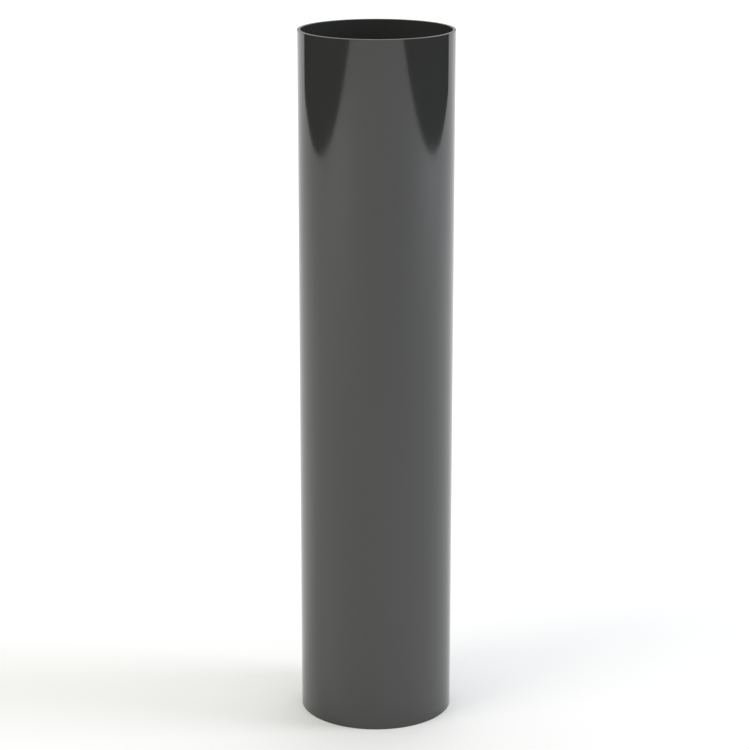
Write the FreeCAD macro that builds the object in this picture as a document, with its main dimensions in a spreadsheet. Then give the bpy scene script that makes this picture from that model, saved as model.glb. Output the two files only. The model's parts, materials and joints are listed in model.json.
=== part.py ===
import FreeCAD, Part
import os

import Sketcher

# A PVC-U rainwater downpipe: one plain-ended extruded tube, cut square at both ends
# and deburred. It stands on its lower end.
#
# Frame, in millimetres: +Z runs up the pipe's axis, and the origin is the centre of
# the lower end face.

PARTS_FOLDER = "parts"
SHEET = "Dimensions"

# Driving dimensions: alias, value, meaning. Each can be changed by itself.
DIMENSIONS = (
    ("outside_diameter", 110.0, "outside of the pipe, which sockets and clips take"),
    ("wall_thickness", 2.2, "wall, measured square to the axis"),
    ("pipe_length", 500.0, "cut length, end face to end face"),
    ("edge_break", 0.3, "radius that deburring leaves on each edge of a cut end"),
)


def make_sheet(doc):
    """The spreadsheet that every feature reads its sizes from."""
    sheet = doc.addObject("Spreadsheet::Sheet", SHEET)
    for row, (alias, value, meaning) in enumerate(DIMENSIONS, start=1):
        sheet.set(f"A{row}", meaning)
        sheet.set(f"B{row}", str(value))
        sheet.setAlias(f"B{row}", alias)
    doc.recompute()
    return sheet


def origin_plane(body, role):
    """One of the body's own origin planes, such as XY_Plane."""
    return next(feature for feature in body.Origin.OriginFeatures if feature.Role == role)


def add_driven_circle(sketch, constraint_name, diameter_rule):
    """A circle centred on the sketch's origin, with its diameter set by an expression."""
    circle = sketch.addGeometry(Part.Circle(), False)
    centre_of_circle, sketch_origin = 3, (-1, 1)
    sketch.addConstraint(
        Sketcher.Constraint("Coincident", circle, centre_of_circle, *sketch_origin)
    )
    start_diameter = sketch.Geometry[circle].Radius * 2
    constraint = sketch.addConstraint(Sketcher.Constraint("Diameter", circle, start_diameter))
    sketch.renameConstraint(constraint, constraint_name)
    sketch.setExpression(f"Constraints.{constraint_name}", diameter_rule)


def make_downpipe(doc):
    """The tube: a ring pushed out along Z by the die, sawn to length and deburred."""
    body = doc.addObject("PartDesign::Body", "Downpipe")
    body.Label = "downpipe"

    ring = body.newObject("Sketcher::SketchObject", "RingSection")
    ring.AttachmentSupport = (origin_plane(body, "XY_Plane"), [""])
    ring.MapMode = "FlatFace"
    add_driven_circle(ring, "outside", f"{SHEET}.outside_diameter")
    add_driven_circle(ring, "bore", f"{SHEET}.outside_diameter - 2 * {SHEET}.wall_thickness")
    doc.recompute()

    tube = body.newObject("PartDesign::Pad", "Tube")
    tube.Profile = ring
    tube.setExpression("Length", f"{SHEET}.pipe_length")
    doc.recompute()

    deburred = body.newObject("PartDesign::Fillet", "DeburredEnds")
    deburred.Base = (tube, cut_edges(tube.Shape))
    deburred.setExpression("Radius", f"{SHEET}.edge_break")
    body.Tip = deburred
    doc.recompute()
    return body


def cut_edges(shape):
    """Names of the round edges, inside and outside, of the two cut ends."""
    return [
        f"Edge{number}"
        for number, edge in enumerate(shape.Edges, start=1)
        if isinstance(edge.Curve, Part.Circle)
    ]


def check_document(doc, bodies):
    """Stops before anything is written if a feature failed or a shape is unusable."""
    for feature in doc.Objects:
        if "Invalid" in feature.State or "Error" in feature.State:
            raise RuntimeError(f"{feature.Label} did not recompute: {feature.State}")
    for body in bodies:
        shape = body.Shape
        if shape.isNull() or not shape.isValid() or len(shape.Solids) != 1:
            raise RuntimeError(f"{body.Label} is not one valid solid")


def export_parts(bodies):
    """Writes one STEP file per body, named by its label."""
    os.makedirs(PARTS_FOLDER, exist_ok=True)
    for body in bodies:
        body.Shape.exportStep(os.path.join(PARTS_FOLDER, f"{body.Label}.step"))
        box = body.Shape.optimalBoundingBox(False)
        print(
            f"{body.Label}: {box.XLength:.2f} x {box.YLength:.2f} x {box.ZLength:.2f} mm,"
            f" {body.Shape.Volume:.1f} mm3"
        )


def main():
    doc = FreeCAD.newDocument("PvcDownpipe")
    make_sheet(doc)
    bodies = [make_downpipe(doc)]
    check_document(doc, bodies)
    export_parts(bodies)


main()
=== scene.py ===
import json
import math

import bpy
from mathutils import Matrix, Vector


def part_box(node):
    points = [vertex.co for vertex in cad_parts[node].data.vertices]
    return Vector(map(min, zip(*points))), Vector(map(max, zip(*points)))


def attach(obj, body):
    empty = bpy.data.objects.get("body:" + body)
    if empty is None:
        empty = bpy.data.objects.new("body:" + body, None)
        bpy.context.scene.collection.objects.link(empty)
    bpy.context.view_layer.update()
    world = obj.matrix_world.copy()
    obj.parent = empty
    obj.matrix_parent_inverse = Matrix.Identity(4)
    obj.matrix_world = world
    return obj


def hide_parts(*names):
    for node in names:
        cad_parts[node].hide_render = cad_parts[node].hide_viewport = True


# The looks of a plain-ended PVC-U downpipe that stands on its lower end: the extruded tube
# with its die lines, its two sawn and deburred ends, and the studio round it.
# Metres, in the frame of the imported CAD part: +Z runs up the pipe's axis from its foot.

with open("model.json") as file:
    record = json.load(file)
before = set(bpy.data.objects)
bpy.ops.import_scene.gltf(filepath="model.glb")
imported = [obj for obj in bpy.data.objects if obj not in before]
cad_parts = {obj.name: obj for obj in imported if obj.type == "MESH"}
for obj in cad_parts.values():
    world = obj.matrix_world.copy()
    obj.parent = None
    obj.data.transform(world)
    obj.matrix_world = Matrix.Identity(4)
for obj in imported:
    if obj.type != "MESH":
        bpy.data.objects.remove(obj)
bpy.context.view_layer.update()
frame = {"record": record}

PIPE_NODE = "downpipe"
MOUNTS = {mount["name"]: mount for mount in frame["record"]["mounts"]}
MILLIMETRE = 0.001

# Sizes of the pipe, read from the frame
LOWEST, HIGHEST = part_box(PIPE_NODE)
PIPE_LENGTH = HIGHEST.z - LOWEST.z
OUTER_RADIUS = (HIGHEST.x - LOWEST.x) / 2
BORE_RADIUS = MOUNTS["bore"]["dims"]["r_mm"] * MILLIMETRE
EDGE_BREAK = (PIPE_LENGTH - MOUNTS["bore"]["dims"]["length_mm"] * MILLIMETRE) / 2

# Fineness of the pipe's mesh
SEGMENTS_ROUND = 640
STEPS_IN_AN_EDGE = 6
STEPS_ACROSS_AN_END = 4
RING_SPACING = 0.025
RING_BESIDE_AN_EDGE = 0.00015
QUARTER_TURN = math.radians(90)

# Places of the pipe's materials in its slots
OUTER_WALL, SAWN_END, BORE_WALL = range(3)

# Die lines: waves round the wall that run its whole length. Each is the number of waves
# in a turn, its height and where it starts.
DIE_WAVES = (
    (7, 0.0000040, 0.3),
    (19, 0.0000025, 1.9),
    (43, 0.0000012, 4.1),
    (71, 0.0000008, 2.6),
)

# Tones of the plastic, as linear grey, and the share by which they vary from place to place. The
# bore's grey is the plastic's tone lifted by painted light.
OUTER_GREY = 0.0355
# The bore is set lighter than the outer wall, though both are the same plastic: painted light that
# makes up for the shade inside the tube.
BORE_GREY_WITH_PAINTED_LIGHT = 0.038
SAWN_GREY = 0.036
EXTRUDED_VARIATION = 0.04
SAWN_VARIATION = 0.12

# Gloss of the plastic: its index of refraction, and its smoothest and dullest roughness
PVC_IOR = 1.65
OUTER_ROUGHNESS = (0.045, 0.07)
BORE_ROUGHNESS = (0.12, 0.2)
SAWN_ROUGHNESS = (0.4, 0.5)

# Heights of the fine relief that is bump: the finer die lines and the saw's marks
OUTER_LINE_HEIGHT = 0.0000012
BORE_LINE_HEIGHT = 0.000003
SAWN_MARK_HEIGHT = 0.000003

# Sizes along x, y and z of what noise draws on the plastic
GLOSS_BANDS = (0.012, 0.012, 1.2)
FINE_DIE_LINES = (0.0016, 0.0016, 0.7)
TONE_CLOUDS = (0.06, 0.06, 0.14)
SAWN_GRAIN = (0.0004, 0.0004, 0.0004)

# Noise's detail where it is broad and where it is fine, and the range of most of its values
BROAD_DETAIL = 2.0
FINE_DETAIL = 3.0
NOISE_RANGE = (0.3, 0.7)

# The wave that draws the saw's marks on the cut ends
SAW_MARKS = {"Scale": 260.0, "Distortion": 3.0, "Detail": 2.0, "Detail Scale": 1.5}

# The studio's floor and world
WHITE = (1.0, 1.0, 1.0, 1.0)
BLACK = (0.0, 0.0, 0.0, 1.0)
FLOOR_GREY = 0.9
FLOOR_REACH = 6.0
AMBIENT = 0.61
BACKDROP = 1.0

# How much the floor is lifted towards white where it is seen: everywhere, and further away.
# Each far glow is its strength, and the depths behind the pipe and the distances all round
# it over which it rises.
NEAR_GLOW = 0.065
FAR_GLOWS = (
    (0.16, (-0.3, 1.2), (0.9, 3.0)),
    (0.28, (0.9, 3.2), (3.6, 5.6)),
)

# The black flags: where each crosses the X axis, how tall they are, and how far they run in Y
FLAG_DISTANCES = {"flag_left": -41.6 * OUTER_RADIUS, "flag_right": 42.1 * OUTER_RADIUS}
FLAG_HEIGHT = 1.5
FLAG_FRONT = -6.0
FLAG_BACK = 33 * OUTER_RADIUS

# The lamps. Azimuth runs from +X towards +Y and elevation up from the floor, in degrees.
# Distance and size are in metres, and power in watts.
SOFTBOXES = (
    {
        "name": "softbox_right",
        "azimuth": -4.5,
        "elevation": 35.2,
        "distance": 2.93,
        "size": (0.88, 2.89),
        "power": 29.5,
        "colour": (0.88, 0.94, 1.0),
    },
    {
        "name": "softbox_left",
        "azimuth": 214.9,
        "elevation": 38.9,
        "distance": 2.8,
        "size": (1.3, 1.9),
        "power": 18.0,
        "colour": (1.0, 0.98, 0.8),
    },
    {
        "name": "softbox_back",
        "azimuth": 81.0,
        "elevation": 61.4,
        "distance": 2.45,
        "size": (1.44, 2.9),
        "power": 15.0,
        "colour": (1.0, 1.0, 1.0),
    },
)

# The camera: how far it stands back from the pipe's axis and above the floor, how it is
# turned, and its lens in millimetres
CAMERA_BACK = 1.678
CAMERA_HEIGHT = 0.7225
CAMERA_DOWN = math.radians(15.678)
CAMERA_TURN = math.radians(0.042)
CAMERA_ROLL = math.radians(0.046)
LENS = 116.39
SENSOR_WIDTH = 36.0


# Helpers

def placed(name, data):
    """A new object of the scene that shows this mesh, lamp or camera."""
    made = bpy.data.objects.new(name, data)
    bpy.context.scene.collection.objects.link(made)
    return made


def add_node(tree, kind, inputs=None, **settings):
    """A new node. An input that is a socket is linked, and anything else is set as a value."""
    node = tree.nodes.new(kind)
    for name, value in settings.items():
        setattr(node, name, value)
    for name, value in (inputs or {}).items():
        if isinstance(value, bpy.types.NodeSocket):
            tree.links.new(value, node.inputs[name])
        else:
            node.inputs[name].default_value = value
    return node


def empty_material(name):
    """A material with only its output node."""
    material = bpy.data.materials.new(name)
    material.use_nodes = True
    tree = material.node_tree
    tree.nodes.clear()
    return material, tree, tree.nodes.new("ShaderNodeOutputMaterial")


def noise(tree, cell, detail=BROAD_DETAIL):
    """Noise from 0 to 1, whose features measure cell = (x, y, z) in metres."""
    place = add_node(tree, "ShaderNodeTexCoord").outputs["Object"]
    cells_a_metre = [1 / size for size in cell]
    scaled = add_node(
        tree, "ShaderNodeVectorMath", {0: place, 1: cells_a_metre}, operation="MULTIPLY"
    )
    settings = {"Vector": scaled.outputs[0], "Scale": 1.0, "Detail": detail}
    return add_node(tree, "ShaderNodeTexNoise", settings).outputs["Fac"]


def mapped(tree, value, low, high):
    """Noise's usual range stretched to run from low to high."""
    least, most = NOISE_RANGE
    settings = {"Value": value, "From Min": least, "From Max": most, "To Min": low, "To Max": high}
    return add_node(tree, "ShaderNodeMapRange", settings).outputs["Result"]


def maths(tree, operation, first, second):
    """The result of a sum, product or other operation on two values."""
    return add_node(tree, "ShaderNodeMath", {0: first, 1: second}, operation=operation).outputs[0]


def grey_around(tree, value, grey, spread):
    """A grey that noise takes up and down by a share of itself."""
    level = mapped(tree, value, grey * (1 - spread), grey * (1 + spread))
    return add_node(tree, "ShaderNodeCombineColor", {0: level, 1: level, 2: level}).outputs[0]


def bumped(tree, height, metres):
    """The surface's normal over a relief that is this many metres high where height is 1."""
    return add_node(tree, "ShaderNodeBump", {"Height": height, "Distance": metres}).outputs["Normal"]


# Materials of the pipe

def extruded_pvc(name, grey, roughness, line_height):
    """Gloss PVC as the die leaves it, long along the pipe in its gloss, relief and tone."""
    material, tree, output = empty_material(name)
    bands = noise(tree, GLOSS_BANDS)
    lines = noise(tree, FINE_DIE_LINES, FINE_DETAIL)
    clouds = noise(tree, TONE_CLOUDS)
    shader = add_node(
        tree,
        "ShaderNodeBsdfPrincipled",
        {
            "Base Color": grey_around(tree, clouds, grey, EXTRUDED_VARIATION),
            "Roughness": mapped(tree, bands, *roughness),
            "IOR": PVC_IOR,
            "Normal": bumped(tree, lines, line_height),
        },
    )
    tree.links.new(shader.outputs[0], output.inputs["Surface"])
    return material


def sawn_pvc():
    """The cut ends and their rounded edges: duller, with the saw's fine marks across them."""
    material, tree, output = empty_material("sawn_pvc")
    place = add_node(tree, "ShaderNodeTexCoord").outputs["Object"]
    wave = add_node(tree, "ShaderNodeTexWave", {"Vector": place, **SAW_MARKS}, bands_direction="Y")
    marks = wave.outputs["Fac"]
    grain = noise(tree, SAWN_GRAIN, FINE_DETAIL)
    relief = maths(tree, "ADD", marks, grain)
    shader = add_node(
        tree,
        "ShaderNodeBsdfPrincipled",
        {
            "Base Color": grey_around(tree, grain, SAWN_GREY, SAWN_VARIATION),
            "Roughness": mapped(tree, marks, *SAWN_ROUGHNESS),
            "IOR": PVC_IOR,
            "Normal": bumped(tree, relief, SAWN_MARK_HEIGHT),
        },
    )
    tree.links.new(shader.outputs[0], output.inputs["Surface"])
    return material


# The pipe

def run_between(start, end, spacing, beside_ends):
    """Places from just after start to just before end: one beside each, the rest even."""
    direction = 1 if end > start else -1
    first, last = start + direction * beside_ends, end - direction * beside_ends
    count = max(1, math.ceil(abs(last - first) / spacing))
    return [first + (last - first) * step / count for step in range(count + 1)]


def wall_section():
    """The wall's section as (radius, height, material slot), from the top of the outside over
    the upper end, down the bore, across the lower end and back up the outside. Each point
    starts a strip of faces, and the centres are those of the four rounded edges."""
    outside, inside = OUTER_RADIUS - EDGE_BREAK, BORE_RADIUS + EDGE_BREAK
    bottom, top = LOWEST.z + EDGE_BREAK, HIGHEST.z - EDGE_BREAK
    centres = ((outside, top), (inside, top), (inside, bottom), (outside, bottom))
    strip_after = (SAWN_END, BORE_WALL, SAWN_END, OUTER_WALL)
    end_spacing = (outside - inside) / STEPS_ACROSS_AN_END
    points = []
    for corner, (radius, height) in enumerate(centres):
        for step in range(STEPS_IN_AN_EDGE + 1):
            angle = QUARTER_TURN * (corner + step / STEPS_IN_AN_EDGE)
            strip = SAWN_END if step < STEPS_IN_AN_EDGE else strip_after[corner]
            around = (radius + EDGE_BREAK * math.cos(angle), height + EDGE_BREAK * math.sin(angle))
            points.append((*around, strip))
        next_radius, next_height = centres[(corner + 1) % len(centres)]
        if strip_after[corner] == SAWN_END:
            for place in run_between(radius, next_radius, end_spacing, RING_BESIDE_AN_EDGE):
                points.append((place, points[-1][1], SAWN_END))
        else:
            for place in run_between(height, next_height, RING_SPACING, RING_BESIDE_AN_EDGE):
                points.append((points[-1][0], place, strip_after[corner]))
    return points


def die_relief(angle):
    """How far the die lines stand out of the true circle at this angle."""
    return sum(height * math.sin(waves * angle + start) for waves, height, start in DIE_WAVES)


def pipe_mesh():
    """The wall's section turned about Z, with the die lines in both walls."""
    section = wall_section()
    vertices, faces, strips = [], [], []
    for segment in range(SEGMENTS_ROUND):
        angle = math.tau * segment / SEGMENTS_ROUND
        relief = die_relief(angle)
        for radius, height, _ in section:
            reach = radius + relief
            vertices.append((reach * math.cos(angle), reach * math.sin(angle), height))
    for segment in range(SEGMENTS_ROUND):
        here = segment * len(section)
        beside = (segment + 1) % SEGMENTS_ROUND * len(section)
        for point, (_, _, strip) in enumerate(section):
            after = (point + 1) % len(section)
            faces.append((here + point, beside + point, beside + after, here + after))
            strips.append(strip)
    mesh = bpy.data.meshes.new("pvc_tube")
    mesh.from_pydata(vertices, [], faces)
    mesh.polygons.foreach_set("material_index", strips)
    mesh.shade_smooth()
    return mesh


def build_pipe():
    """The tube, with its materials in the order of their slots."""
    mesh = pipe_mesh()
    for material in (
        extruded_pvc("gloss_pvc", OUTER_GREY, OUTER_ROUGHNESS, OUTER_LINE_HEIGHT),
        sawn_pvc(),
        # The bore's grey carries painted light that makes up for the shade inside the tube.
        extruded_pvc("bore_pvc", BORE_GREY_WITH_PAINTED_LIGHT, BORE_ROUGHNESS, BORE_LINE_HEIGHT),
    ):
        mesh.materials.append(material)
    mesh.validate()
    return placed("pvc_tube", mesh)


# The studio

def flat_sheet(name, corners, material):
    """A flat stage piece with one face, whose corners run round it."""
    mesh = bpy.data.meshes.new(name)
    mesh.from_pydata(corners, [], [range(len(corners))])
    mesh.materials.append(material)
    sheet = placed(name, mesh)
    return sheet


def seen_directly_or_in_gloss(tree):
    """1 for camera, glossy and transmission rays, and 0 for the rays that light the scene."""
    path = add_node(tree, "ShaderNodeLightPath").outputs
    mirrored = maths(tree, "MAXIMUM", path["Is Glossy Ray"], path["Is Transmission Ray"])
    return maths(tree, "MAXIMUM", path["Is Camera Ray"], mirrored)


def ramp(tree, value, start_and_end):
    """0 before the start and 1 past the end, with a smooth rise between them."""
    start, end = start_and_end
    settings = {"Value": value, "From Min": start, "From Max": end}
    rise = add_node(tree, "ShaderNodeMapRange", settings, interpolation_type="SMOOTHSTEP")
    return rise.outputs["Result"]


def floor_material():
    """Pale paint that keeps the shadows, lifted to white behind the pipe and far from it."""
    material, tree, output = empty_material("pale_floor")
    grey = (FLOOR_GREY, FLOOR_GREY, FLOOR_GREY, 1.0)
    paint = add_node(tree, "ShaderNodeBsdfDiffuse", {"Color": grey})
    place = add_node(tree, "ShaderNodeTexCoord").outputs["Object"]
    reach = add_node(tree, "ShaderNodeVectorMath", {0: place}, operation="LENGTH").outputs["Value"]
    depth = add_node(tree, "ShaderNodeSeparateXYZ", {0: place}).outputs["Y"]
    level = NEAR_GLOW
    for amount, depths, distances in FAR_GLOWS:
        farness = maths(tree, "MAXIMUM", ramp(tree, depth, depths), ramp(tree, reach, distances))
        level = maths(tree, "ADD", maths(tree, "MULTIPLY", farness, amount), level)
    lift = maths(tree, "MULTIPLY", seen_directly_or_in_gloss(tree), level)
    glow = add_node(tree, "ShaderNodeEmission", {"Color": WHITE, "Strength": lift})
    both = add_node(tree, "ShaderNodeAddShader", {0: paint.outputs[0], 1: glow.outputs[0]})
    tree.links.new(both.outputs[0], output.inputs["Surface"])
    return material


def build_floor():
    """A square floor under the pipe's foot."""
    corners = [
        (-FLOOR_REACH, -FLOOR_REACH, 0),
        (FLOOR_REACH, -FLOOR_REACH, 0),
        (FLOOR_REACH, FLOOR_REACH, 0),
        (-FLOOR_REACH, FLOOR_REACH, 0),
    ]
    flat_sheet("studio_floor", corners, floor_material())


def build_flags():
    """Upright black flags at both sides, which only reflections see: they draw the two dark
    tongues under the rim."""
    material, tree, output = empty_material("black_flag")
    black = add_node(tree, "ShaderNodeBsdfDiffuse", {"Color": BLACK})
    tree.links.new(black.outputs[0], output.inputs["Surface"])
    for name, x in FLAG_DISTANCES.items():
        corners = [
            (x, FLAG_FRONT, 0),
            (x, FLAG_BACK, 0),
            (x, FLAG_BACK, FLAG_HEIGHT),
            (x, FLAG_FRONT, FLAG_HEIGHT),
        ]
        flag = flat_sheet(name, corners, material)
        flag.visible_camera = False
        flag.visible_diffuse = False
        flag.visible_shadow = False


def light_world():
    """White where it is seen, and an even softer light for everything else."""
    world = bpy.data.worlds.new("studio")
    bpy.context.scene.world = world
    world.use_nodes = True
    tree = world.node_tree
    tree.nodes.clear()
    ambient = add_node(tree, "ShaderNodeBackground", {"Color": WHITE, "Strength": AMBIENT})
    backdrop = add_node(tree, "ShaderNodeBackground", {"Color": WHITE, "Strength": BACKDROP})
    chosen = add_node(
        tree,
        "ShaderNodeMixShader",
        {0: seen_directly_or_in_gloss(tree), 1: ambient.outputs[0], 2: backdrop.outputs[0]},
    )
    add_node(tree, "ShaderNodeOutputWorld", {"Surface": chosen.outputs[0]})


def add_softbox(name, azimuth, elevation, distance, size, power, colour):
    """A large soft lamp aimed at the foot of the pipe."""
    lamp = bpy.data.lights.new(name, "AREA")
    lamp.shape = "RECTANGLE"
    lamp.size, lamp.size_y = size
    lamp.energy = power
    lamp.color = colour
    softbox = placed(name, lamp)
    turn, rise = math.radians(azimuth), math.radians(elevation)
    away = Vector((math.cos(turn) * math.cos(rise), math.sin(turn) * math.cos(rise), math.sin(rise)))
    softbox.location = away * distance
    softbox.rotation_euler = away.to_track_quat("Z", "Y").to_euler()


def build_studio():
    """Everything round the pipe but the camera."""
    build_floor()
    build_flags()
    light_world()
    for softbox in SOFTBOXES:
        add_softbox(**softbox)


def turned_about(axis, angle):
    """The rotation in space by this angle about the X, Y or Z axis."""
    return Matrix.Rotation(angle, 3, axis)


def add_camera():
    """The camera, raised from straight down to its own tilt, then turned and rolled."""
    data = bpy.data.cameras.new("camera")
    data.sensor_width = SENSOR_WIDTH
    data.lens = LENS
    camera = placed("camera", data)
    camera.location = (0.0, -CAMERA_BACK, CAMERA_HEIGHT)
    aimed = turned_about("Z", CAMERA_TURN) @ turned_about("X", QUARTER_TURN - CAMERA_DOWN)
    camera.rotation_euler = (aimed @ turned_about("Z", CAMERA_ROLL)).to_euler()
    bpy.context.scene.camera = camera


bpy.context.scene.view_settings.view_transform = "Standard"
add_camera()
build_studio()
pipe = build_pipe()
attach(pipe, "root")
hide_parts(PIPE_NODE)
